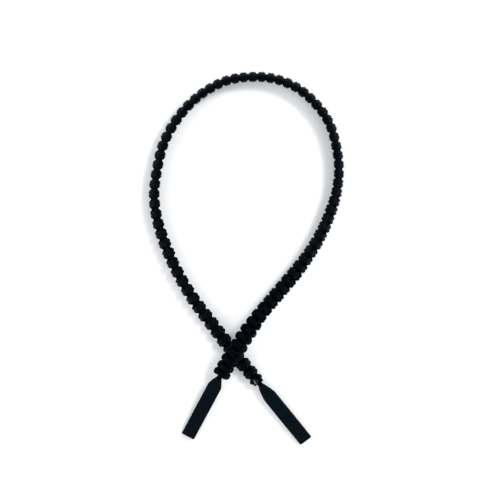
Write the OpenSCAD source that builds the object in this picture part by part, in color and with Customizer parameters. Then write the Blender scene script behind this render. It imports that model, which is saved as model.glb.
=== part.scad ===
// Eyeglass retainer strap: a knotted nylon cord band with a soft flat sleeve at each end.
// The band lies on a table in a teardrop loop. It stands on edge round the loop and turns
// towards its flat side near the ends, where its right arm passes over its left arm.
// Millimetres. +X is right, +Y is up the loop, +Z is up from the table.

/* [Cord] */
// Diameter of each nylon cord
cord_d = 1.5; // [1.4:0.05:1.65]

/* [Knotted band] */
// Width across the lobes of the knots
band_w = 9.8; // [9.4:0.1:10]
// Thickness over the crossing cords
band_t = 5.3; // [5:0.1:5.3]
// Width left at the last knot, as a share of the whole width
last_knot = 0.7; // [0.65:0.05:0.9]

/* [Sleeves] */
// Width of a sleeve lying flat
sleeve_w = 7.7; // [7.3:0.1:8.2]
// Height of a sleeve lying flat
sleeve_t = 3; // [2.9:0.1:3.2]
// Wall of a sleeve
wall = 0.5; // [0.4:0.05:0.5]
// Length of the left sleeve
left_len = 34.5; // [30:0.5:38]
// Length of the right sleeve
right_len = 37; // [32:0.5:40]
// Length of the left sleeve's shoulder, from neck to full width
left_shoulder = 2.5; // [2.5:0.5:6]
// Length of the right sleeve's shoulder
right_shoulder = 4; // [2.5:0.5:6]

/* [Necks] */
// Length of each sleeve's shrunk neck
neck_len = 1; // [1:0.1:2]
// Distance between the two places where a neck's cords bend
bend_gap = 2; // [2:0.1:3]
// Room kept between pieces that move apart
room = 0.25; // [0.2:0.05:0.3]

/* [Hidden] */
$fn = 32;

cord_colour = "#12161a";
tip_colour = "#1d2226";
sleeve_colour = "#1b242c";
glue_colour = "#8d8a80";

slit = 0.03;             // half the gap between the front and the back cord
snug = 0.02;             // gap between a cord and what it lies against
core_y = cord_d / 2 + snug;
steps = 2;               // rings on each stretch between two route points

// The band's centreline from the left sleeve to the right one, over the right arm first:
// [x, y, height over lying on the table, roll]. Roll 0 is flat and roll 90 is on edge.
route = [
    [-14, -63, 3.7, 0], [-11, -57.5, 6.7, 0], [-7, -51.5, 9.2, 0], [-3.5, -46, 8.8, 0],
    [0, -40.5, 7.3, 4], [7.5, -30, 3.4, 36], [16, -20, 0.8, 45], [24.5, -10, 0, 45],
    [32.5, 0.5, 0, 64], [39.5, 11.5, 0, 70], [45, 23.5, 0, 75], [49, 36, 0, 84],
    [50.5, 49, 0, 90], [49, 62, 0, 90], [45, 75, 0, 90], [37.5, 85.5, 0, 90],
    [27.5, 94, 0, 90], [15, 99, 0, 90], [2, 100, 0, 90], [-11, 98, 0, 90],
    [-23, 92, 0, 90], [-33, 83.5, 0, 90], [-41, 73, 0, 90], [-46.5, 61.5, 0, 90],
    [-49.5, 48.5, 0, 90], [-51, 35.5, 0, 90], [-49.5, 22.5, 0, 88], [-45.5, 9.5, 0, 83],
    [-40.5, -2.5, 0, 82], [-34.5, -14, 0, 82], [-27, -25.5, 0, 75], [-19, -36, 0, 69],
    [-11.5, -46, 0, 60], [-3.5, -56, 0, 55], [1.5, -62, 0.2, 50], [6, -67.5, 0.6, 45]
];
last_ring = (len(route) - 1) * steps;
narrow_rings = 5;        // rings over which the band narrows to its last knot
tip_back = 0.4;          // rings from the band's end back to the cord tips
glue_len = 1.5;          // length of the adhesive plug in each sleeve
stop_len = 2.4;          // length of the fused stop on the core cords' ends

// Each sleeve: where its neck's cords first bend, its heading, its roll and its pieces' sizes
left = [[-15.1, -64.8, 5.6], -118, 0, left_len, left_shoulder];
right = [[7.3, -69.1, 3.7], -51, 15, right_len, right_shoulder];

// Outline of half the band's section, without the channel for the core cords
function half_outline(share) = let(a = band_w / 2 * share, b = band_t / 2)
    [[a, 0.3 * b], [0.86 * a, 0.68 * b], [0.53 * a, b]];

// Height of the band's centre when it lies on the table at this roll
function rest_height(roll, share) =
    max([for (p = half_outline(share)) p.x * sin(roll) + p.y * cos(roll)]);

// Point and slope of the smooth curve through the route, at ring i
function at(i) = route[max(0, min(len(route) - 1, i))];
function spot(i) = let(k = min(floor(i / steps), len(route) - 2), u = i / steps - k,
    a = at(k - 1), b = at(k), c = at(k + 1), d = at(k + 2))
    b + 0.5 * u * (c - a + u * (2 * a - 5 * b + 4 * c - d + u * (3 * (b - c) + d - a)));
function share(i) = lookup(i, [[last_ring - narrow_rings, 1], [last_ring, last_knot]]);
function centre(i) = let(p = spot(i)) [p.x, p.y, p[2] + rest_height(p[3], share(i))];
function unit(v) = v / norm(v);
function along(i) = unit(centre(min(i + 1, last_ring)) - centre(max(i - 1, 0)));

// The band's own axes at ring i: across its width, and out of its front
function level(i) = unit(cross([0, 0, 1], along(i)));
function across(i) = let(s = level(i), r = spot(i)[3])
    cos(r) * s + sin(r) * cross(along(i), s);
function facing(i) = cross(along(i), across(i));
function in_band(i, y, z) = centre(i) + y * across(i) + z * facing(i);

// Closed solid swept along the band's rings: one outline for each ring, and the triangles
// that cap an outline. The outlines of the back's pieces run the other way round.
module sweep(outlines, caps, side = 1) {
    n = len(outlines[0]);
    m = len(outlines);
    points = [for (i = [0:m - 1]) for (p = outlines[i]) in_band(i, p.x, p.y)];
    sides = [for (i = [0:m - 2]) for (j = [0:n - 1]) let(a = i * n + j, b = i * n + (j + 1) % n)
             each [[a, b, b + n], [a, b + n, a + n]]];
    start = [for (c = caps) [c[2], c[1], c[0]]];
    end = [for (c = caps) [for (v = c) v + (m - 1) * n]];
    polyhedron(points, [for (f = concat(sides, start, end)) [f[1 + side], f[1], f[1 - side]]]);
}

// The half of the band that one working cord fills, with a channel for the core cords
module working_cord(side) {
    channel_y = 2 * core_y + snug;
    channel_z = cord_d / 2 + 5 * snug + slit;
    outlines = [for (i = [0:last_ring]) let(h = half_outline(share(i)), a = h[0].x)
        [[a, slit * side], for (p = h) [p.x, p.y * side],
         for (k = [2:-1:0]) [-h[k].x, h[k].y * side], [-a, slit * side],
         [-channel_y, slit * side], [-channel_y, channel_z * side],
         [channel_y, channel_z * side], [channel_y, slit * side]]];
    ears = [[0, 1, 11], [1, 10, 11], [1, 2, 10], [2, 3, 10], [3, 9, 10],
            [3, 4, 9], [4, 5, 9], [5, 6, 9], [6, 8, 9], [6, 7, 8]];
    sweep(outlines, ears, side);
}

// One core cord, an eight-sided tube that fills its half of the channel
module core_cord(side) {
    ring = [for (k = [0:7]) [side * core_y, 0] + cord_d / 2 * [cos(45 * k), sin(45 * k)]];
    sweep([for (i = [0:last_ring]) ring], [for (k = [1:6]) [0, k, k + 1]]);
}

// Bead of melted nylon, pressed flat on one face of the last knot
module cord_tip(side) {
    i = last_ring - tip_back;
    face = band_t / 2 + 3 * snug;
    base = in_band(i, 0, side * face);
    out = side * facing(i);
    translate(base) rotate(a = acos(out.z), v = cross([0, 0, 1], out)) {
        cylinder(r1 = 1.15, r2 = 1.05, h = 0.35);
        translate([0, 0, 0.35]) cylinder(r1 = 1.05, r2 = 0.6, h = 0.3);
    }
}

// Frame at a sleeve's second bend, with X along the sleeve
module at_lift(end) {
    heading = end[1];
    translate(end[0] + bend_gap * [cos(heading), sin(heading), 0]) rotate([0, 0, heading])
        children();
}
module at_sleeve(end) {
    drop = end[0].z - sleeve_t / 2 - (sleeve_w - sleeve_t) / 2 * sin(end[2]);
    pitch = asin(drop / (end[3] + cord_d));
    at_lift(end) rotate([0, pitch, 0]) rotate([end[2], 0, 0]) children();
}

// Flat outline with round ends, across Y, as thick as t
module flat_round(w, t) {
    square([t, w - t], center = true);
    for (s = [-1, 1]) translate([0, s * (w - t) / 2]) circle(d = t);
}
module bar(x, length, w, t) {
    translate([x, 0, 0]) rotate([0, 90, 0]) linear_extrude(length) flat_round(w, t);
}

// The two core cords between the last knot and the sleeve. Their ends are round about the
// upright axis of the first bend and the level axis of the second.
module neck_cords(end) {
    heading = end[1];
    translate(end[0]) rotate([0, 0, heading]) for (s = [-1, 1]) intersection() {
        translate([-cord_d, s * core_y, 0]) rotate([0, 90, 0])
            cylinder(d = cord_d, h = 2 * cord_d + bend_gap);
        union() {
            cylinder(r = cord_d + snug, h = 2 * cord_d, center = true);
            translate([0, -2 * cord_d, -cord_d]) cube([bend_gap, 4 * cord_d, 2 * cord_d]);
            translate([bend_gap, 0, 0]) rotate([90, 0, 0])
                cylinder(d = cord_d, h = 4 * cord_d, center = true);
        }
    }
}

// Where a sleeve starts, past the round ends of the neck cords
neck_x = cord_d / 2 + room;
neck_w = 2 * cord_d + 2 * snug;

// Solid from the neck's width to the sleeve's, from x to x + length
module shoulder(x, length, w1, t1, w2, t2) {
    thin = 0.01;
    hull() {
        bar(x, thin, w1, t1);
        bar(x + length - thin, thin, w2, t2);
    }
}
module sleeve(end) {
    full_x = neck_x + neck_len + end[4];
    mouth_x = neck_x + end[3];
    lumen = [sleeve_w, sleeve_t] - 2 * [wall, wall];
    outer_w = neck_w + 2 * wall + 2 * snug;
    outer_t = cord_d + 2 * wall + 2 * snug;
    inner = [neck_w + 2 * snug, cord_d + 2 * snug];
    at_sleeve(end) difference() {
        union() {
            bar(neck_x, neck_len, outer_w, outer_t);
            shoulder(neck_x + neck_len, end[4], outer_w, outer_t, sleeve_w, sleeve_t);
            bar(full_x, mouth_x - full_x, sleeve_w, sleeve_t);
        }
        bar(neck_x - 1, neck_len + 1.01, inner.x, inner.y);
        shoulder(neck_x + neck_len, end[4] + 0.01, inner.x, inner.y, lumen.x, lumen.y);
        bar(full_x, mouth_x - full_x + 1, lumen.x, lumen.y);
    }
}

// Core cords inside a sleeve, fused at the end into a flat stop
module core_ends(end) {
    stop_x = neck_x + neck_len + end[4] + glue_len + 0.3;
    at_sleeve(end) {
        for (s = [-1, 1]) translate([neck_x, s * core_y, 0]) rotate([0, 90, 0])
            cylinder(d = cord_d, h = stop_x + 0.2 - neck_x);
        bar(stop_x, stop_len, 2 * cord_d + 1.2, cord_d);
    }
}

// Adhesive plug that fills the sleeve round the core cords, at the end of the shoulder
module glue(end) {
    x = neck_x + neck_len + end[4] + snug;
    at_sleeve(end) difference() {
        bar(x, glue_len, sleeve_w - 2 * (wall + snug), sleeve_t - 2 * (wall + snug));
        bar(x - 1, glue_len + 2, neck_w + 2 * snug, cord_d + 2 * snug);
    }
}

module front_working_cord() { color(cord_colour) working_cord(1); }
module back_working_cord() { color(cord_colour) working_cord(-1); }
module upper_core_cord() { color(cord_colour) core_cord(1); }
module lower_core_cord() { color(cord_colour) core_cord(-1); }
module front_cord_tip() { color(tip_colour) cord_tip(1); }
module back_cord_tip() { color(tip_colour) cord_tip(-1); }
module left_neck_cords() { color(cord_colour) neck_cords(left); }
module left_sleeve() { color(sleeve_colour) sleeve(left); }
module left_glue() { color(glue_colour) glue(left); }
module left_core_ends() { color(cord_colour) core_ends(left); }
module right_neck_cords() { color(cord_colour) neck_cords(right); }
module right_sleeve() { color(sleeve_colour) sleeve(right); }
module right_glue() { color(glue_colour) glue(right); }
module right_core_ends() { color(cord_colour) core_ends(right); }

front_working_cord();
back_working_cord();
upper_core_cord();
lower_core_cord();
front_cord_tip();
back_cord_tip();
left_neck_cords();
left_sleeve();
left_glue();
left_core_ends();
right_neck_cords();
right_sleeve();
right_glue();
right_core_ends();
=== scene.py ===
"""Eyeglass retainer strap: the knotted band, the necks and sleeves, their materials, floor,
light and camera. Metres throughout; the weave is worked out in millimetres and scaled."""

import math

import bpy
import numpy as np
from mathutils import Matrix, Vector


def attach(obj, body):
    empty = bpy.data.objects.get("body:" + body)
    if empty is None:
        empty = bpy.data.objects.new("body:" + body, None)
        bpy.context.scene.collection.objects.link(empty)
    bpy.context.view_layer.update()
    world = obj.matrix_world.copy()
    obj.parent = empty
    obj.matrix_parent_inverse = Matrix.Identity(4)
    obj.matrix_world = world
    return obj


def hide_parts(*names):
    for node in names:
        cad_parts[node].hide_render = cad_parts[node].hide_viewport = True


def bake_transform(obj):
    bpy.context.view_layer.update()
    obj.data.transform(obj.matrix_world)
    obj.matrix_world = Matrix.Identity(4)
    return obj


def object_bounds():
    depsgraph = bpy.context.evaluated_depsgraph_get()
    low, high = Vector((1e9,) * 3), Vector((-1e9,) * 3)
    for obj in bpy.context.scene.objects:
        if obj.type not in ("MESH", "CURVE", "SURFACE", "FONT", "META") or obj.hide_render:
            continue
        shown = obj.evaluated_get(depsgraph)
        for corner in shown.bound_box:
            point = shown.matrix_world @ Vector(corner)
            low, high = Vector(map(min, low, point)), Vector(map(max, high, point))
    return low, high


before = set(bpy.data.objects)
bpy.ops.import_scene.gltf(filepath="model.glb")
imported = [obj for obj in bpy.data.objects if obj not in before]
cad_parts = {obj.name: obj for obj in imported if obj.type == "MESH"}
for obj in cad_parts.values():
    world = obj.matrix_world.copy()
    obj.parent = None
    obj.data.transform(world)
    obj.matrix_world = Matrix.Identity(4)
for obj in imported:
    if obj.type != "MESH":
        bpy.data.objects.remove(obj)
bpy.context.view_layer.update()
rng = np.random.default_rng(7)

# ---------------------------------------------------------------- sizes
MM = 0.001
CORD_R = 0.75 * MM  # radius of a core cord
WORK_R = 0.95 * MM  # radius of a working cord
# A working cord is soft. Its thickness and its width, as shares of its round size:
IN_LOBE = np.array((0.98, 1.08))  # flattened round a lobe or a waist
IN_BAR = np.array((1.06, 0.84))  # where two bars press side by side
CORE_Y = 0.74 * MM  # a core cord's distance from the band's centreline
BAND_W = 9.8 * MM
BAND_T = 5.3 * MM
END_SHARE = 0.7  # width of the last knot, as a share of the band's
NARROW_OVER = 2.5  # stretches of the route over which the band narrows to it
# How far apart the knots are, in millimetres: distance along the band, spacing
PITCH = MM * np.array([
    (0, 4.7), (30, 4.95), (60, 5.08), (178, 5.08), (190, 4.9),
    (238, 4.9), (255, 5.28), (300, 5.4), (325, 5.65), (424, 5.73),
])
FIRST_KNOT = 0.6 * MM  # along the centreline
LAST_KNOT = 0.8 * MM  # back from its end
CORE_SHORT = 1.05 * MM  # from where a core cord's braid stops to the first bend
TIP_BACK = 0.25 * MM  # from the middle of the last knot back to the melted tips
TIP_Y = 1.1 * MM  # a melted tip's middle, across the band
TIP_Z = 1.9 * MM  # and out of its face
TIP_SIZE = (1.9, 2.0, 1.1)  # its half width, half length and height, in millimetres

SLEEVE_W = 7.7 * MM
SLEEVE_T = 3.0 * MM
WALL = 0.5 * MM
BEND_GAP = 2.0 * MM  # between the two places where a neck's cords bend
NECK_FROM = -1.6 * MM  # from the second bend to the lip, where the sleeve grips the cords
NECK_X = 1.0 * MM  # from the second bend to where its neck is as wide as NECK_W
NECK_LEN = 1.0 * MM
LIP_W = 3.4 * MM
NECK_W = 4.08 * MM
NECK_T = 2.58 * MM
GLUE_LEN = 1.5 * MM
SLUMP = 0.14  # how far a sleeve's flat faces sink in, as a share of its height
SLUMP_INSIDE = 0.2  # the same for its inside

# The band's centreline from the left sleeve to the right one: x, y, height over lying on
# the table, and roll in degrees (0 flat, 90 on edge)
ROUTE = np.array([
    (-0.014, -0.063, 0.0037, 0), (-0.011, -0.0575, 0.0067, 0), (-0.007, -0.0515, 0.0092, 0),
    (-0.0035, -0.046, 0.0088, 0), (0, -0.0405, 0.0073, 4), (0.0075, -0.03, 0.0034, 36),
    (0.016, -0.02, 0.0008, 45), (0.0245, -0.01, 0, 45), (0.0325, 0.0005, 0, 64),
    (0.0395, 0.0115, 0, 70), (0.045, 0.0235, 0, 75), (0.049, 0.036, 0, 84),
    (0.0505, 0.049, 0, 90), (0.049, 0.062, 0, 90), (0.045, 0.075, 0, 90),
    (0.0375, 0.0855, 0, 90), (0.0275, 0.094, 0, 90), (0.015, 0.099, 0, 90),
    (0.002, 0.1, 0, 90), (-0.011, 0.098, 0, 90), (-0.023, 0.092, 0, 90),
    (-0.033, 0.0835, 0, 90), (-0.041, 0.073, 0, 90), (-0.0465, 0.0615, 0, 90),
    (-0.0495, 0.0485, 0, 90), (-0.051, 0.0355, 0, 90), (-0.0495, 0.0225, 0, 88),
    (-0.0455, 0.0095, 0, 83), (-0.0405, -0.0025, 0, 82), (-0.0345, -0.014, 0, 82),
    (-0.027, -0.0255, 0, 75), (-0.019, -0.036, 0, 69), (-0.0115, -0.046, 0, 60),
    (-0.0035, -0.056, 0, 55), (0.0015, -0.062, 0.0002, 50), (0.006, -0.0675, 0.0006, 45),
])
LAST_STRETCH = len(ROUTE) - 1

# Each sleeve: where its neck's cords first bend, heading and roll in degrees, length, shoulder,
# and the two places from the second bend between which the sleeve widens
LEFT = {
    "bend": (-0.0151, -0.0648, 0.0056), "heading": -118, "roll": 0,
    "length": 34.5 * MM, "shoulder": 2.5 * MM, "taper": (-1.4 * MM, 3.8 * MM),
}
RIGHT = {
    "bend": (0.0073, -0.0691, 0.0037), "heading": -51, "roll": 15,
    "length": 37 * MM, "shoulder": 4 * MM, "taper": (-1.7 * MM, 6.2 * MM),
}


# ---------------------------------------------------------------- camera
VIEW_CENTRE = (1.65 * MM, 4.95 * MM)
VIEW_WIDTH = 0.275  # at the band's height
BAND_HEIGHT = 4 * MM
LENS = 85
camera_data = bpy.data.cameras.new("camera")
camera_data.lens = LENS
camera = bpy.data.objects.new("camera", camera_data)
camera.location = (*VIEW_CENTRE, BAND_HEIGHT + VIEW_WIDTH * LENS / camera_data.sensor_width)
bpy.context.scene.collection.objects.link(camera)
bpy.context.scene.camera = camera


# ---------------------------------------------------------------- the band's line
def unit(v):
    return v / np.linalg.norm(v, axis=-1, keepdims=True)


def between(a, b, c, d, u):
    """Share u of the smooth curve's way from b to c, where a comes before b and d after c."""
    return b + 0.5 * u * (c - a + u * (2 * a - 5 * b + 4 * c - d + u * (3 * (b - c) + d - a)))


def spot(t):
    """The smooth curve through the route, t stretches from its start."""
    k = min(int(t), LAST_STRETCH - 1)
    a, b, c, d = (ROUTE[min(max(k + j, 0), LAST_STRETCH)] for j in (-1, 0, 1, 2))
    return between(a, b, c, d, t - k)


def share(t):
    """Width of the band there, as a share of its full width."""
    return np.interp(LAST_STRETCH - t, [0, NARROW_OVER, 2 * NARROW_OVER], [END_SHARE, 0.82, 1])


def rest_height(roll, part):
    """Height of the band's centre when it lies on the table at this roll."""
    half_w = BAND_W / 2 * part
    corners = [(half_w, 0.3), (0.86 * half_w, 0.68), (0.53 * half_w, 1)]
    return max(y * math.sin(roll) + z * BAND_T / 2 * math.cos(roll) for y, z in corners)


class Line:
    """The band's centreline by distance along it, with its own axes: across and facing."""

    def __init__(self):
        steps = np.linspace(0, LAST_STRETCH, 40 * LAST_STRETCH + 1)
        spots = np.array([spot(t) for t in steps])
        roll = np.radians(spots[:, 3])
        centre = spots[:, :3].copy()
        centre[:, 2] += [rest_height(r, share(t)) for r, t in zip(roll, steps)]
        along = unit(np.gradient(centre, axis=0))
        level = unit(np.cross([0.0, 0.0, 1.0], along))
        raised = np.cross(along, level)
        across = np.cos(roll)[:, None] * level + np.sin(roll)[:, None] * raised
        gaps = np.linalg.norm(np.diff(centre, axis=0), axis=1)
        self.at = np.concatenate([[0], np.cumsum(gaps)])
        self.length = self.at[-1]
        self.centre, self.along = centre, along
        self.across, self.facing = across, np.cross(along, across)
        self.share = share(steps)

    def value(self, s, table):
        return np.stack([np.interp(s, self.at, table[:, i]) for i in range(3)], -1)

    def place(self, s, y, z):
        """Points s along the band, y across it and z out of its front. Past an end it is straight."""
        inside = np.clip(s, 0, self.length)
        past = (s - inside)[:, None] * self.value(inside, self.along)
        width = np.interp(inside, self.at, self.share)
        sideways = (y * width)[:, None] * self.value(inside, self.across)
        outward = z[:, None] * self.value(inside, self.facing)
        return self.value(inside, self.centre) + past + sideways + outward


line = Line()


# ---------------------------------------------------------------- the knot
# One pitch of the front cord's way through a cobra knot, in millimetres: along, across and
# out of the front. It starts at a waist, on the right and behind, comes up inside the back
# cord, crosses the front to the left and goes round the outside in a wide lobe. The way
# back is the same, mirrored. The back cord's way is this one turned half round.
HALF_KNOT = [(-2.53, 2.9, -0.8), (-1.6, 3.7, -0.7), (-0.6, 3.1, 0), (-0.95, 2.2, 1.0),
             (-1.15, 0.9, 1.6), (-1.35, -0.9, 1.6), (-1.6, -2.2, 1.0), (-1.9, -3.2, 0),
             (-0.95, -3.9, -0.7), (0, -4.2, -0.9)]
TURNED = np.array([1, -1, -1])
KNOT_POINTS = 48
KNOT_LENGTH = 5.06


def smooth_path(points, count=None, spacing=None):
    """Even points along the smooth curve through points; more columns than three go along."""
    p = np.vstack([2 * points[0] - points[1], points, 2 * points[-1] - points[-2]])
    u = np.linspace(0, 1, 8, endpoint=False)[:, None]
    stretches = [between(*four, u) for four in zip(p[:-3], p[1:-2], p[2:-1], p[3:])]
    fine = np.vstack([*stretches, points[-1:]])
    at = np.concatenate([[0], np.cumsum(np.linalg.norm(np.diff(fine[:, :3], axis=0), axis=1))])
    count = count or max(2, round(at[-1] / spacing) + 1)
    even = np.linspace(0, at[-1], count)
    return np.stack([np.interp(even, at, fine[:, i]) for i in range(fine.shape[1])], -1)


def softened(path, rounds):
    """The path with its points drawn half way to the middle of their neighbours, rounds times."""
    for _ in range(rounds):
        path[1:-1] += 0.25 * (path[:-2] + path[2:] - 2 * path[1:-1])
    return path


def nearest_push(path, others, gap, skip):
    """How far each point moves to stay gap from the nearest of others, which repeat at each
    pitch. A cord is let off its own nearest points, skip of them each way."""
    count = len(path)
    offsets = [others + [turn * KNOT_LENGTH, 0, 0] for turn in (-1, 0, 1)]
    away = np.concatenate([path[:, None] - o[None] for o in offsets], 1)
    far = np.linalg.norm(away, axis=2)
    if skip:
        mine = np.arange(count)[:, None]
        theirs = np.concatenate([np.arange(count) + turn * count for turn in (-1, 0, 1)])[None]
        far = np.where(abs(mine - theirs) < skip, np.inf, far)
    near = far.argmin(1)
    rows = np.arange(count)
    depth = np.clip(gap - far[rows, near], 0, None)
    return 0.5 * away[rows, near] * (depth / np.maximum(far[rows, near], 1e-6))[:, None]


def tightened_knot(rounds=300):
    """The front cord's way through one knot, pulled tight: it shortens, keeps clear of the
    core cords, of the back cord and of itself, and its lobe and waist keep their widths."""
    contact = 1.35  # how near two working cords come, pressed together, in millimetres
    core_contact = 1.42  # and how near one comes to a core cord
    lobe, waist, height = 4.2, 2.5, 1.85  # furthest out at the lobe, at the waist and in front
    tighten, to_waist, to_lobe = 0.15, 0.1, 0.15  # shares of the way gone in each round
    other_half = [(-s, y, z) for s, y, z in HALF_KNOT[-2::-1]]
    path = smooth_path(np.array(HALF_KNOT + other_half, float), KNOT_POINTS + 1)[:-1]
    spacing = np.linalg.norm(np.diff(path, axis=0), axis=1).mean()
    skip = math.ceil(contact * 1.6 / spacing)
    for i in range(rounds):
        gap = contact * min(1, 0.5 + 0.5 * i / (0.6 * rounds))
        before = np.roll(path, 1, 0)
        before[0, 0] -= KNOT_LENGTH
        after = np.roll(path, -1, 0)
        after[-1, 0] += KNOT_LENGTH
        path = path + tighten * ((before + after) / 2 - path)
        path[:, 1] -= to_waist * np.clip(path[:, 1] - waist, 0, None)
        in_lobe = (path[:, 1] < -2.4) * np.exp(-((path[:, 0] / 1.1) ** 2))
        path[:, 1] -= to_lobe * in_lobe * (lobe + path[:, 1])
        path[:, 2] = np.clip(path[:, 2], -height, height)
        for _ in range(2):
            for y in (-CORE_Y / MM, CORE_Y / MM):
                out = path[:, 1:] - [y, 0]
                far = np.linalg.norm(out, axis=1, keepdims=True)
                path[:, 1:] += out / np.maximum(far, 1e-6) * np.clip(core_contact - far, 0, None)
            path = path + nearest_push(path, path * TURNED, gap, 0)
            path = path + nearest_push(path, path, gap, skip)
    return softened(np.vstack([path, path[:1] + [KNOT_LENGTH, 0, 0]]), 4)


def knot_places():
    """Each knot's place along the band, evenly spread at the pitches asked for."""
    pitch = np.interp(line.at, PITCH[:, 0], PITCH[:, 1])
    steps = np.diff(line.at) / ((pitch[1:] + pitch[:-1]) / 2)
    turns = np.concatenate([[0], np.cumsum(steps)])
    first, last = np.interp([FIRST_KNOT, line.length - LAST_KNOT], line.at, turns)
    count = round(last - first) + 1
    return np.interp(np.linspace(first, last, count), turns, line.at)


KNOTS = knot_places()
KNOT = tightened_knot()
HALF_PITCH = KNOT_LENGTH / 2


def ease(x):
    """From 0 to 1, starting and ending softly."""
    x = np.clip(x, 0, 1)
    return x * x * (3 - 2 * x)


def shaped_knot(pitch):
    """The knot at this pitch: its bars drawn together, its lobes rounded out, and the rest of
    the pitch left to the waist, which is pulled in."""
    x, y, z = KNOT[:-1].T
    fills_lobe = (y > 1.8) * np.exp(-(((abs(x) - 0.9) / 0.5) ** 2))
    y = y * 0.98 + 0.4 * fills_lobe
    half = pitch / 2 / MM
    loose = float(np.clip((pitch / MM - 5.1) / 0.55, 0, 1))  # 0 where the knots are close, to 1
    # Where points at these places along the knot go, in its bars and in its lobes
    places = [0, 0.8, 1.4, 1.75, HALF_PITCH]
    bar_places = [0, 0.45 - 0.05 * loose, 0.74 - 0.1 * loose, 1.15 - 0.25 * loose, half]
    lobe_places = [0, 0.85 - 0.1 * loose, 1.5 - 0.3 * loose, 1.85 - 0.35 * loose, half]
    bars = np.interp(abs(x), places, bar_places)
    lobes = np.interp(abs(x), places, lobe_places)
    drawn = bars + (lobes - bars) * ease((abs(y) - 2.4) / 1.1)
    # How thick and wide the band is at the knot and at the waist, as shares of the knot's own
    waist = ease((drawn / half - 0.45 + 0.08 * loose) / 0.33)
    tall = 1.36 + 0.24 * loose
    slim = 0.4 + 0.1 * loose
    thick = tall + (slim - tall) * waist
    wide = 1 - 0.24 * waist
    return np.sign(x) * drawn * MM, y * wide * MM, z * thick * MM


def working_path(side):
    """The whole way of the front cord, side 1, or of the back cord, side -1. Each row holds a
    point, the nearest point of the band's centreline, and the cord's thickness and width."""
    rows = []
    for place, pitch in zip(KNOTS, np.gradient(KNOTS)):
        uneven = np.clip(rng.normal(0, 1, 3), -1.6, 1.6)  # by hand, no two knots are alike
        x, y, z = shaped_knot(pitch)
        in_lobe = np.clip(abs(y) / MM - 2, 0, 2) / 2
        s = place + x + 0.09 * MM * uneven[0] * np.cos(math.pi * x / pitch) ** 2
        y = y * (1 + 0.03 * uneven[1] * in_lobe)
        z = z + 0.16 * MM * uneven[2] * in_lobe
        rows.append(np.stack([s, y, z], 1))
    # The two are one long cord, folded inside the first knot
    rows[0] = np.vstack([[KNOTS[0] - 0.8 * MM, 2.7 * MM, -1.0 * MM], rows[0][6:]])
    path = np.vstack(rows)
    # Each ends half way over the last bar, where it was cut and melted
    after = path[:, 0] > KNOTS[-1] + 0.1 * MM
    path = path[~(after & (path[:, 1] > -0.2 * MM))]
    path = np.vstack([path, [KNOTS[-1] - TIP_BACK + 0.4 * MM, TIP_Y, 1.6 * MM]])
    on_band = line.place(path[:, 0], side * path[:, 1], side * path[:, 2])
    middle = line.place(path[:, 0], np.zeros(len(path)), np.zeros(len(path)))
    lobe = ease((abs(path[:, 1]) / MM - 1.4) / 1.2)[:, None]
    shape = IN_BAR + lobe * (IN_LOBE - IN_BAR)
    return np.hstack([on_band, middle, shape])


# ---------------------------------------------------------------- mesh building
UV_NAME = "skin"


def new_mesh(name, points, faces, uv=None, materials=()):
    """A smooth-shaded object; uv holds a pair for each corner of each face, in order."""
    mesh = bpy.data.meshes.new(name)
    mesh.from_pydata(np.asarray(points).tolist(), [], [list(f) for f in faces])
    mesh.polygons.foreach_set("use_smooth", [True] * len(mesh.polygons))
    if uv is not None:
        layer = mesh.uv_layers.new(name=UV_NAME)
        layer.data.foreach_set("uv", np.asarray(uv, float).ravel())
    for material in materials:
        mesh.materials.append(material)
    mesh.update()
    obj = bpy.data.objects.new(name, mesh)
    bpy.context.scene.collection.objects.link(obj)
    return obj


def wrapped(rings, sides, capped=True):
    """Faces round a stack of rings of points. They look outward where each ring, seen from the
    next one, runs counterclockwise."""
    faces = []
    for i in range(rings - 1):
        for j in range(sides):
            k = (j + 1) % sides
            faces.append([i * sides + j, i * sides + k, (i + 1) * sides + k, (i + 1) * sides + j])
    if capped:
        faces.append(list(range(sides))[::-1])
        faces.append(list(range((rings - 1) * sides, rings * sides)))
    return faces


def wrapped_uv(around, along):
    """A UV pair for each corner of the faces between the rings, without the caps."""
    uv = []
    for low, high in zip(along[:-1], along[1:]):
        for left, right in zip(around[:-1], around[1:]):
            uv += [(left, low), (right, low), (right, high), (left, high)]
    return uv


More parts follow.
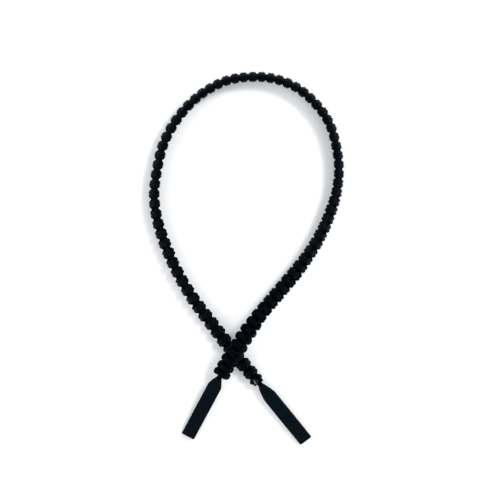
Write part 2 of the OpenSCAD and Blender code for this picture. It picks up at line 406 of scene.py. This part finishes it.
def tube_parts(path, radius, sides=16):
    """Points, faces and UVs of a cord with domed ends. U goes round it once, and V counts cord
    diameters along it. A path may go on with what each point is pressed against, and with the
    cord's thickness and width there."""
    path, pressed_on, shape = path[:, :3], path[:, 3:6], path[:, 6:]
    tangent = unit(np.gradient(path, axis=0))
    normal = np.zeros_like(path)
    first = np.cross(tangent[0], [0.0, 0.0, 1.0])
    if np.linalg.norm(first) < 0.1:
        first = np.cross(tangent[0], [1.0, 0.0, 0.0])
    normal[0] = unit(first)
    for i in range(1, len(path)):
        carried = normal[i - 1] - (normal[i - 1] @ tangent[i]) * tangent[i]
        normal[i] = carried / np.linalg.norm(carried)
    dome = np.radians([78, 52, 26])
    head = [path[0] - tangent[0] * radius * math.sin(a) for a in dome]
    tail = [path[-1] + tangent[-1] * radius * math.sin(a) for a in dome[::-1]]
    centre = np.vstack([head, path, tail])
    size = radius * np.concatenate([np.cos(dome), np.ones(len(path)), np.cos(dome[::-1])])
    normal = np.vstack([[normal[0]] * len(dome), normal, [normal[-1]] * len(dome)])
    tangent = np.vstack([[tangent[0]] * len(dome), tangent, [tangent[-1]] * len(dome)])
    side = np.cross(tangent, normal)
    angle = np.linspace(0, 2 * math.pi, sides, endpoint=False)
    ring = np.cos(angle)[None, :, None] * normal[:, None] + np.sin(angle)[None, :, None] * side[:, None]
    if pressed_on.size:
        outward = unit(path - pressed_on)
        outward = np.vstack([[outward[0]] * len(dome), outward, [outward[-1]] * len(dome)])
        shape = np.vstack([[shape[0]] * len(dome), shape, [shape[-1]] * len(dome)])
        outward -= np.sum(outward * tangent, 1, keepdims=True) * tangent
        amount = np.clip(np.linalg.norm(outward, axis=1), 0, 1)[:, None] ** 2
        outward = outward / np.maximum(np.linalg.norm(outward, axis=1, keepdims=True), 0.2)
        sideways = np.cross(tangent, outward)
        for way, scale in zip((outward, sideways), shape.T):
            part = np.einsum("ijk,ik->ij", ring, way)
            ring = ring + ((scale[:, None] - 1) * amount * part)[:, :, None] * way[:, None]
    points = (centre[:, None] + size[:, None, None] * ring).reshape(-1, 3)
    gaps = np.linalg.norm(np.diff(centre, axis=0), axis=1)
    v = (np.concatenate([[0], np.cumsum(gaps)]) / (2 * radius)).tolist()
    u = np.linspace(0, 1, sides + 1).tolist()
    caps_uv = [(turn, v[0]) for turn in u[-2::-1]] + [(turn, v[-1]) for turn in u[:-1]]
    return points, wrapped(len(centre), sides), wrapped_uv(u, v) + caps_uv


def cords(name, paths, material, radius=CORD_R, sides=16):
    """One object of one or more round cords."""
    points, faces, uv = [], [], []
    for path in paths:
        p, f, t = tube_parts(path, radius, sides)
        base = sum(len(q) for q in points)
        points.append(p)
        faces += [[base + v for v in face] for face in f]
        uv += t
    return new_mesh(name, np.vstack(points), faces, uv, [material])


# ---------------------------------------------------------------- materials
class Nodes:
    """Short calls for building a material's nodes."""

    def __init__(self, name):
        self.material = bpy.data.materials.new(name)
        self.material.use_nodes = True
        self.tree = self.material.node_tree
        self.shader = self.tree.nodes["Principled BSDF"]

    def link(self, out, socket):
        self.tree.links.new(out, socket)

    def put(self, socket, value):
        if isinstance(value, bpy.types.NodeSocket):
            self.link(value, socket)
        else:
            socket.default_value = value

    def math(self, what, a, b=0.0, c=0.0):
        node = self.tree.nodes.new("ShaderNodeMath")
        node.operation = what
        for socket, value in zip(node.inputs, (a, b, c)):
            self.put(socket, value)
        return node.outputs[0]

    def uv(self):
        """The UV vector, and its U and V."""
        node = self.tree.nodes.new("ShaderNodeUVMap")
        node.uv_map = UV_NAME
        split = self.tree.nodes.new("ShaderNodeSeparateXYZ")
        self.link(node.outputs[0], split.inputs[0])
        return node.outputs[0], split.outputs[0], split.outputs[1]

    def place(self, scale=(1, 1, 1)):
        """Object coordinates, stretched."""
        coords = self.tree.nodes.new("ShaderNodeTexCoord")
        mapping = self.tree.nodes.new("ShaderNodeMapping")
        self.link(coords.outputs["Object"], mapping.inputs["Vector"])
        mapping.inputs["Scale"].default_value = scale
        return mapping.outputs[0]

    def noise(self, vector, scale, detail=3.0, rough=0.55):
        node = self.tree.nodes.new("ShaderNodeTexNoise")
        self.link(vector, node.inputs["Vector"])
        node.inputs["Scale"].default_value = scale
        node.inputs["Detail"].default_value = detail
        node.inputs["Roughness"].default_value = rough
        return node.outputs["Fac"]

    def ramp(self, factor, stops):
        node = self.tree.nodes.new("ShaderNodeValToRGB")
        self.link(factor, node.inputs[0])
        while len(node.color_ramp.elements) < len(stops):
            node.color_ramp.elements.new(0.5)
        for element, (place, colour) in zip(node.color_ramp.elements, stops):
            element.position = place
            element.color = (*colour, 1)
        return node.outputs[0]

    def span(self, value, low, high, to_low, to_high):
        node = self.tree.nodes.new("ShaderNodeMapRange")
        for socket, number in zip(node.inputs, (value, low, high, to_low, to_high)):
            self.put(socket, number)
        return node.outputs[0]

    def blend(self, factor, a, b, how="MIX"):
        node = self.tree.nodes.new("ShaderNodeMix")
        node.data_type = "RGBA"
        node.blend_type = how
        self.put(node.inputs[0], factor)
        for socket, value in ((node.inputs[6], a), (node.inputs[7], b)):
            if isinstance(value, tuple):
                socket.default_value = (*value, 1)
            else:
                self.link(value, socket)
        return node.outputs[2]

    def bump(self, height, distance, strength=1.0):
        node = self.tree.nodes.new("ShaderNodeBump")
        node.inputs["Distance"].default_value = distance
        node.inputs["Strength"].default_value = strength
        self.link(height, node.inputs["Height"])
        return node.outputs[0]


def braided_nylon(name, dark, light, shine):
    """Round braid: strands that run both ways round the cord and pass over each other, with
    fine filaments along each strand."""
    n = Nodes(name)
    vector, u, v = n.uv()
    strands = 8.0
    rise = 1.15  # turns that a strand makes in two diameters of cord
    climb = strands * rise / 2
    one_way = n.math("MULTIPLY_ADD", v, climb, n.math("MULTIPLY", u, strands))
    other_way = n.math("SUBTRACT", n.math("MULTIPLY", u, strands), n.math("MULTIPLY", v, climb))
    arch_a = n.math("ABSOLUTE", n.math("SINE", n.math("MULTIPLY", one_way, math.pi)))
    arch_b = n.math("ABSOLUTE", n.math("SINE", n.math("MULTIPLY", other_way, math.pi)))
    steps = n.math("ADD", n.math("FLOOR", one_way), n.math("FLOOR", other_way))
    over = n.math("ABSOLUTE", n.math("MODULO", steps, 2.0))
    under = n.math("SUBTRACT", 1.0, over)
    weave = n.math("ADD", n.math("MULTIPLY", arch_a, over), n.math("MULTIPLY", arch_b, under))
    weave = n.math("POWER", weave, 0.6)
    filaments = n.noise(vector, 60.0, 4.0, 0.7)
    patches = n.noise(n.place(), 160.0, 3.0)
    height = n.math("ADD", weave, n.math("MULTIPLY", filaments, 0.35))
    n.link(n.bump(height, 0.00012), n.shader.inputs["Normal"])
    # Partly painted shade: the colour darkens in the grooves between the strands. It also varies in
    # patches, as the nylon's own tone
    groove_shade_and_patches = n.math("MULTIPLY", weave, n.span(patches, 0.3, 0.7, 0.55, 1.0))
    colour = n.blend(groove_shade_and_patches, dark, light)
    speck = n.ramp(filaments, [(0.62, (0, 0, 0)), (0.82, tuple(0.6 * c for c in light))])
    n.link(n.blend(0.6, colour, speck, "ADD"), n.shader.inputs["Base Color"])
    n.link(n.span(patches, 0.3, 0.7, shine, shine + 0.16), n.shader.inputs["Roughness"])
    n.shader.inputs["Specular IOR Level"].default_value = 0.045
    n.shader.inputs["Specular Tint"].default_value = (0.4, 0.66, 1, 1)
    n.shader.inputs["Sheen Weight"].default_value = 0.002
    n.shader.inputs["Sheen Roughness"].default_value = 0.4
    n.shader.inputs["Sheen Tint"].default_value = (0.6, 0.75, 1, 1)
    return n.material


def melted_nylon():
    """Nylon melted to a bead: smooth and shiny, with bubbles and drawn ridges. The middle of a
    tip bead's UV square is painted paler in its colour: a painted highlight."""
    n = Nodes("melted_nylon")
    _, u, v = n.uv()
    ridges = n.noise(n.place((1, 1, 3)), 900.0, 2.0)
    bubbles = n.noise(n.place(), 2600.0, 2.0)
    # Painted highlight: a pale patch in the middle of the bead's UV square, in place of a glossy glint
    sideways = n.math("DIVIDE", n.math("SUBTRACT", u, 0.58), 0.19)
    lengthways = n.math("DIVIDE", n.math("SUBTRACT", v, 0.52), 0.34)
    off_painted_highlight = n.math("ADD", n.math("POWER", sideways, 2.0), n.math("POWER", lengthways, 2.0))
    painted_highlight_falloff = n.span(off_painted_highlight, 0.4, 1.2, 1.0, 0.0)
    painted_highlight_streak = n.math("MULTIPLY", painted_highlight_falloff, n.span(bubbles, 0.35, 0.6, 0.45, 1.0))
    dark = n.blend(bubbles, (0.0006, 0.001, 0.0014), (0.003, 0.0045, 0.006))
    n.link(n.blend(painted_highlight_streak, dark, (0.16, 0.2, 0.24)), n.shader.inputs["Base Color"])
    height = n.math("ADD", ridges, n.math("MULTIPLY", bubbles, 0.3))
    n.link(n.bump(height, 0.00015, 0.2), n.shader.inputs["Normal"])
    n.link(n.span(ridges, 0.3, 0.7, 0.1, 0.24), n.shader.inputs["Roughness"])
    n.shader.inputs["Specular IOR Level"].default_value = 0.08
    n.shader.inputs["Coat Weight"].default_value = 0.05
    n.shader.inputs["Coat Roughness"].default_value = 0.12
    return n.material


def soft_sleeve():
    """Matte elastomer: fine grain over soft waves, navy to teal in patches, paler where it is
    rubbed, and darkened by painted shade near the mouth. U is 0 on the flat faces and 1 along
    the rounded edges, and V is the distance from the mouth in millimetres."""
    n = Nodes("soft_sleeve")
    _, u, v = n.uv()
    waves = n.noise(n.place(), 300.0, 2.0)
    grain = n.noise(n.place(), 6000.0, 4.0, 0.7)
    cloud = n.noise(n.place(), 200.0, 3.0)
    edge = n.math("MULTIPLY", n.span(u, 0.55, 1.0, 0.0, 1.0), n.span(grain, 0.35, 0.65, 0.4, 1.0))
    navy, teal = (0.0014, 0.0029, 0.0068), (0.0010, 0.0049, 0.0066)
    base = n.blend(n.span(cloud, 0.35, 0.65, 0.0, 1.0), navy, teal)
    worn = n.blend(n.math("MULTIPLY", edge, 0.5), base, (0.0026, 0.0052, 0.0082))
    # Painted shade: within 0.6 mm of the mouth, cut edge included, the colour is nearly black, fading
    # out by 0.95 mm
    painted_mouth_shade = n.blend(n.span(v, 0.6, 0.95, 1.0, 0.0), worn, (0.0003, 0.0006, 0.0012))
    n.link(painted_mouth_shade, n.shader.inputs["Base Color"])
    height = n.math("ADD", n.math("MULTIPLY", grain, 0.5), n.math("MULTIPLY", waves, 0.5))
    n.link(n.bump(height, 0.00006, 0.7), n.shader.inputs["Normal"])
    n.link(n.span(cloud, 0.3, 0.7, 0.5, 0.66), n.shader.inputs["Roughness"])
    n.shader.inputs["Specular IOR Level"].default_value = 0.025
    n.shader.inputs["Sheen Weight"].default_value = 0.002
    n.shader.inputs["Sheen Roughness"].default_value = 0.5
    return n.material


def cured_glue():
    """Cured adhesive: cloudy amber-grey with trapped bubbles."""
    n = Nodes("cured_glue")
    cloud = n.noise(n.place(), 1500.0, 4.0)
    n.link(n.blend(cloud, (0.3, 0.27, 0.2), (0.55, 0.52, 0.44)), n.shader.inputs["Base Color"])
    n.link(n.bump(cloud, 0.0001), n.shader.inputs["Normal"])
    n.link(n.span(cloud, 0.3, 0.7, 0.25, 0.5), n.shader.inputs["Roughness"])
    n.shader.inputs["Subsurface Weight"].default_value = 0.15
    return n.material


working_nylon = braided_nylon("working_nylon", (0.0002, 0.0006, 0.0012), (0.0007, 0.0017, 0.0034), 0.36)
core_nylon = braided_nylon("core_nylon", (0.0002, 0.0005, 0.001), (0.0006, 0.0015, 0.003), 0.4)
melted = melted_nylon()
rubber = soft_sleeve()
glue = cured_glue()


# ---------------------------------------------------------------- the band
def eased_path(path, rounds=5):
    """The path with its corners taken off, as a cord this thick takes them."""
    return softened(smooth_path(path, spacing=0.3 * MM), rounds)


front_path = eased_path(working_path(1))
back_path = eased_path(working_path(-1))
front = cords("front_working_cord_woven", [front_path], working_nylon, WORK_R)
back = cords("back_working_cord_woven", [back_path], working_nylon, WORK_R)
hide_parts("front_working_cord")
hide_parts("back_working_cord")


def core_path(side):
    """A core cord's line, from just short of one neck's first bend to the other's."""
    s = np.linspace(0, line.length, 420)
    middle = line.place(s, np.full_like(s, side * CORE_Y), np.zeros_like(s))
    ends = []
    for end, facing_way in ((LEFT, 1), (RIGHT, -1)):
        heading = math.radians(end["heading"])
        ahead = np.array([math.cos(heading), math.sin(heading), 0])
        level = np.array([-math.sin(heading), math.cos(heading), 0])
        ends.append(np.array(end["bend"]) - CORE_SHORT * ahead - facing_way * side * CORE_Y * level)
    return np.vstack([ends[0], middle, ends[1]])


core_lines = {"upper_core_cord": core_path(1), "lower_core_cord": core_path(-1)}
cores = {}
for node, path in core_lines.items():
    cores[node] = cords(node + "_braid", [smooth_path(path, spacing=0.8 * MM)], core_nylon)
    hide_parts(node)


def melted_tip(name, s, side):
    """A pressed bead of melted nylon with a rounded, uneven edge and a drawn-out peak."""
    rings, sides = 10, 28
    half_width, half_length, height = TIP_SIZE
    points, spots = [], []
    centre = line.place(np.array([s]), np.array([side * TIP_Y]), np.array([side * TIP_Z]))[0]
    across = line.value(np.array([s]), line.across)[0]
    out = side * line.value(np.array([s]), line.facing)[0]
    along = line.value(np.array([s]), line.along)[0]
    for i in range(rings):
        lift = math.pi * (i / (rings - 1)) - math.pi / 2
        for j in range(sides):
            a = 2 * math.pi * j / sides
            uneven = 1 + 0.05 * math.sin(3 * a + 0.7) + 0.03 * math.sin(5 * a + 2)
            wide = math.cos(lift) ** 0.9 * uneven if abs(lift) < math.pi / 2 - 1e-6 else 0.01
            high = math.sin(lift) * (height + 0.12 * math.cos(a - 1))
            x, y = wide * math.cos(a), wide * math.sin(a)
            points.append(centre + (half_width * x * across + half_length * y * along + high * out) * MM)
            spots.append((0.5 + 0.5 * x, 0.5 + 0.5 * y))
    faces = wrapped(rings, sides)
    if side > 0:
        faces = [face[::-1] for face in faces]  # across, along and out are left-handed in front
    uv = [spots[v] for face in faces for v in face]
    return new_mesh(name, points, faces, uv, [melted])


TIP_AT = KNOTS[-1] - TIP_BACK
front_tip = melted_tip("front_cord_tip_bead", TIP_AT, 1)
back_tip = melted_tip("back_cord_tip_bead", TIP_AT, -1)
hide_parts("front_cord_tip")
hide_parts("back_cord_tip")
for piece, slot in ((front, "working_cord"), (back, "working_cord"), (front_tip, "melted_tip"),
                    (back_tip, "melted_tip"), *((c, "core_cord") for c in cores.values())):
    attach(piece, "band")

for node, goes_with in (("upper_core_cord", [front, front_tip]), ("lower_core_cord", [back, back_tip])):
    path = core_lines[node]


# ---------------------------------------------------------------- necks and sleeves
def first_bend(end):
    return Matrix.Translation(end["bend"]) @ Matrix.Rotation(math.radians(end["heading"]), 4, "Z")


def second_bend(end):
    """Frame of a sleeve, with X along it, as it hangs from the second bend to the table."""
    roll = math.radians(end["roll"])
    drop = end["bend"][2] - SLEEVE_T / 2 - (SLEEVE_W - SLEEVE_T) / 2 * math.sin(roll)
    pitch = math.asin(drop / (end["length"] + 2 * CORD_R))
    turn = Matrix.Rotation(pitch, 4, "Y") @ Matrix.Rotation(roll, 4, "X")
    return first_bend(end) @ Matrix.Translation((BEND_GAP, 0, 0)) @ turn


def placed(points, matrix):
    """The points, moved by the matrix."""
    m = np.array(matrix)
    return np.asarray(points) @ m[:3, :3].T + m[:3, 3]


def signed_power(value, power):
    """The power of the value's size, with its sign."""
    return math.copysign(abs(value) ** power, value)


def straight(x0, x1, y, spacing=0.3 * MM):
    """Points along X at this y."""
    x = np.linspace(x0, x1, max(3, round((x1 - x0) / spacing)))
    return np.stack([x, np.full_like(x, y), np.zeros_like(x)], 1)


def neck(side_name, end):
    """The two cords between the last knot and the sleeve."""
    paths = [placed(straight(-0.9 * MM, BEND_GAP, y), first_bend(end)) for y in (-CORE_Y, CORE_Y)]
    piece = cords(side_name + "_neck_cords_braid", paths, core_nylon)
    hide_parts(side_name + "_neck_cords")
    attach(piece, side_name + "_neck")


def bend_with_neck(piece):
    """Bakes the piece's placement into its mesh."""
    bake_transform(piece)


def core_ends(side_name, end):
    """The same cords inside the sleeve, up to their fused stop just past the glue."""
    stop_x = NECK_X + NECK_LEN + end["shoulder"] + GLUE_LEN + 0.3 * MM
    frame_of = second_bend(end)
    paths = [placed(straight(0.2 * MM, stop_x + 0.4 * MM, y), frame_of) for y in (-CORE_Y, CORE_Y)]
    piece = cords(side_name + "_core_ends_braid", paths, core_nylon)
    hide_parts(side_name + "_core_ends")
    bend_with_neck(piece)
    fused_stop(side_name, end, stop_x)


def fused_stop(side_name, end, stop_x):
    """The cords' ends, melted together and pressed flat, from stop_x on."""
    sides = 24
    half_width, half_height = 2.1, 0.75
    stations = [(0, 0.72), (0.15, 0.93), (0.4, 1), (2.0, 1), (2.25, 0.9), (2.4, 0.6)]
    points = []
    for x, size in stations:
        for j in range(sides):
            a = 2 * math.pi * j / sides
            y = half_width * size * signed_power(math.cos(a), 0.6)
            z = half_height * size * signed_power(math.sin(a), 0.8) + 0.04 * math.sin(3 * a + x)
            points.append((stop_x + x * MM, y * MM, z * MM))
    faces = wrapped(len(stations), sides)
    stop = new_mesh(side_name + "_fused_stop", placed(points, second_bend(end)), faces, None, [melted])
    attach(stop, side_name + "_end")


def sleeve_ring(end, phase, x, shrink, slump, sides):
    """A sleeve's outline at x, shrink inside its outer face. Its flat faces sink in by slump."""
    full_x = NECK_X + NECK_LEN + end["shoulder"]
    along = (x - full_x) / (NECK_X + end["length"] - full_x)
    taper_from, taper_to = end["taper"]
    taper = min(max((x - taper_from) / (taper_to - taper_from), 0), 1)
    grown = 0.4 * ease(taper) + 0.6 * taper
    neck_w = LIP_W + (NECK_W - LIP_W) * ease((x - NECK_FROM) / (NECK_X - NECK_FROM))
    half_w = (neck_w + (SLEEVE_W - neck_w) * grown) / 2 - shrink
    half_t = (NECK_T + (SLEEVE_T - NECK_T) * grown) / 2 - shrink
    half_w *= 1 + 0.008 * math.sin(5 * along + phase[0]) * grown
    near_neck = math.exp(-(((x - NECK_X - 1.3 * MM) / (2.2 * MM)) ** 2))
    power = 2 / (2.3 + 1.5 * grown)
    points = []
    for j in range(sides):
        a = 2 * math.pi * j / sides
        c, s = math.cos(a), math.sin(a)
        y = half_w * signed_power(c, power)
        z = half_t * signed_power(s, power)
        middle = 1 - min(1, abs(y) / max(half_w, 1e-9)) ** 2
        wave = 1 + 0.25 * math.sin(9 * along + phase[1] + math.copysign(1, s))
        sag = slump * grown * middle * wave
        # Small pleats where the sleeve was shrunk on to the cords
        fold = 0.07 * MM * near_neck * math.sin(7 * a + phase[2] + 900 * x)
        fold += 0.03 * MM * near_neck * math.sin(13 * a + phase[3])
        points.append((x, y + fold * c, z * (1 - sag) + fold * s))
    return points


def sleeve_stations(end):
    """Places from the inside of the lip, along the outside, round the mouth and back along the
    inside to the glue: x, how far inside the outer face, and slump."""
    mouth_x = NECK_X + end["length"]
    glue_x = NECK_X + NECK_LEN + end["shoulder"] + GLUE_LEN
    lip = [(0.15, 0.42), (0, 0.25), (0.08, 0.06)]
    rim = [(0.05, 0.03 * MM), (0, 0.13 * MM), (0, WALL - 0.13 * MM), (0.06, WALL - 0.03 * MM)]
    outside = np.linspace(NECK_FROM + 0.25 * MM, mouth_x - 0.16 * MM, 104)
    inside = np.linspace(mouth_x - 0.2 * MM, glue_x, 40)
    stations = [(NECK_FROM + ahead * MM, shrink * MM, 0) for ahead, shrink in lip]
    stations += [(x, 0, SLUMP) for x in outside]
    stations += [(mouth_x - back * MM, shrink, SLUMP) for back, shrink in rim]
    stations += [(x, WALL, SLUMP_INSIDE) for x in inside]
    return stations


def sleeve(side_name, end, seed):
    """Soft flat tube, shrunk to a neck at one end and cut square at the other."""
    sides = 72
    phase = np.random.default_rng(seed).uniform(0, 2 * math.pi, 8)
    stations = sleeve_stations(end)
    rings = [sleeve_ring(end, phase, *station, sides) for station in stations]
    points = placed([p for r in rings for p in r], second_bend(end))
    on_edge = np.cos(np.linspace(0, 2 * math.pi, sides + 1)) ** 2
    from_mouth = [(NECK_X + end["length"] - x) / MM for x, _, _ in stations]
    faces = wrapped(len(rings), sides, capped=False)
    uv = wrapped_uv(on_edge.tolist(), from_mouth)
    piece = new_mesh(side_name + "_sleeve_tube", points, faces, uv, [rubber])
    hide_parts(side_name + "_sleeve")
    bend_with_neck(piece)


for side_name, end, seed in (("left", LEFT, 3), ("right", RIGHT, 4)):
    neck(side_name, end)
    core_ends(side_name, end)
    sleeve(side_name, end, seed)
    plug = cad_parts[side_name + "_glue"]
    plug.data.materials.clear()
    plug.data.materials.append(glue)


# ---------------------------------------------------------------- floor and light
def pale_floor():
    n = Nodes("pale_floor")
    cloud = n.noise(n.place(), 8.0, 3.0)
    n.link(n.blend(cloud, (0.93, 0.94, 0.95), (0.96, 0.965, 0.97)), n.shader.inputs["Base Color"])
    n.shader.inputs["Roughness"].default_value = 0.9
    n.shader.inputs["Specular IOR Level"].default_value = 0.1
    return n.material


FLOOR_HALF = 3.0
floor_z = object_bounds()[0].z - 0.02 * MM
floor = new_mesh("floor", [(x, y, floor_z) for x, y in ((-1, -1), (1, -1), (1, 1), (-1, 1))],
                 [(0, 1, 2, 3)], None, [pale_floor()])
floor.scale = (FLOOR_HALF, FLOOR_HALF, 1)


def area_light(name, place, size, power, aim=(0, 0, 0)):
    data = bpy.data.lights.new(name, "AREA")
    data.shape = "DISK"
    data.size = size
    data.energy = power
    lamp = bpy.data.objects.new(name, data)
    lamp.location = place
    lamp.rotation_euler = (Vector(aim) - Vector(place)).to_track_quat("-Z", "Y").to_euler()
    bpy.context.scene.collection.objects.link(lamp)


area_light("key", (0.75, 0.6, 1.0), 0.4, 9)
area_light("left", (-1.1, 0.2, 0.9), 1.0, 4)
area_light("right", (0.9, -0.7, 0.9), 1.0, 3)

# A pale room: bright walls under a dimmer ceiling
world = bpy.data.worlds.new("studio")
world.use_nodes = True
tree = world.node_tree
coords = tree.nodes.new("ShaderNodeTexCoord")
split = tree.nodes.new("ShaderNodeSeparateXYZ")
ramp = tree.nodes.new("ShaderNodeValToRGB")
tree.links.new(coords.outputs["Generated"], split.inputs[0])
tree.links.new(split.outputs[2], ramp.inputs[0])
tree.links.new(ramp.outputs[0], tree.nodes["Background"].inputs["Color"])
ramp.color_ramp.elements[0].color = (0.98, 0.99, 1, 1)
ramp.color_ramp.elements[0].position = 0.6
ramp.color_ramp.elements[1].color = (0.45, 0.46, 0.48, 1)
ramp.color_ramp.elements[1].position = 0.97
tree.nodes["Background"].inputs["Strength"].default_value = 1.15
bpy.context.scene.world = world
bpy.context.scene.view_settings.view_transform = "Standard"
